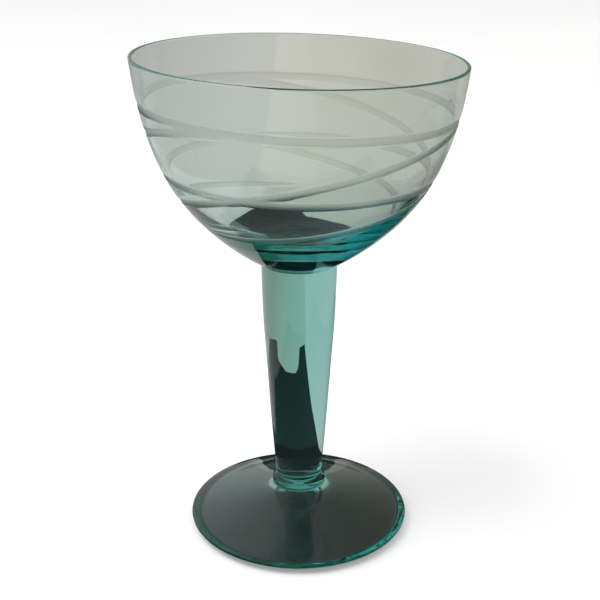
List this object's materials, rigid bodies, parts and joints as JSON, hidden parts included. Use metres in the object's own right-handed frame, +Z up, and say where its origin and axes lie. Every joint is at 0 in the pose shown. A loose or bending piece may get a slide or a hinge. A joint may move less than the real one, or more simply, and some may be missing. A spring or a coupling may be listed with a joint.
{
  "type": "martini glass",
  "caption": "Stemmed cocktail glass with a wide curved bowl, a stout tapered solid stem, a small collar and a round sloping foot.",
  "frame": {"origin": "on the table, under the middle of the foot", "axes": "+Z up along the stem, +X towards the side where the rim is slightly lower, +Y away from the viewer"},
  "size_m": [0.11, 0.11, 0.1712],
  "materials": {
    "aqua_glass": "fire-polished, pale aqua in the wall and deeper teal where it is thick"
  },
  "bodies": {
    "root": {"bowl": "aqua_glass", "stem": "aqua_glass", "collar": "aqua_glass", "foot": "aqua_glass"}
  },
  "joints": []
}
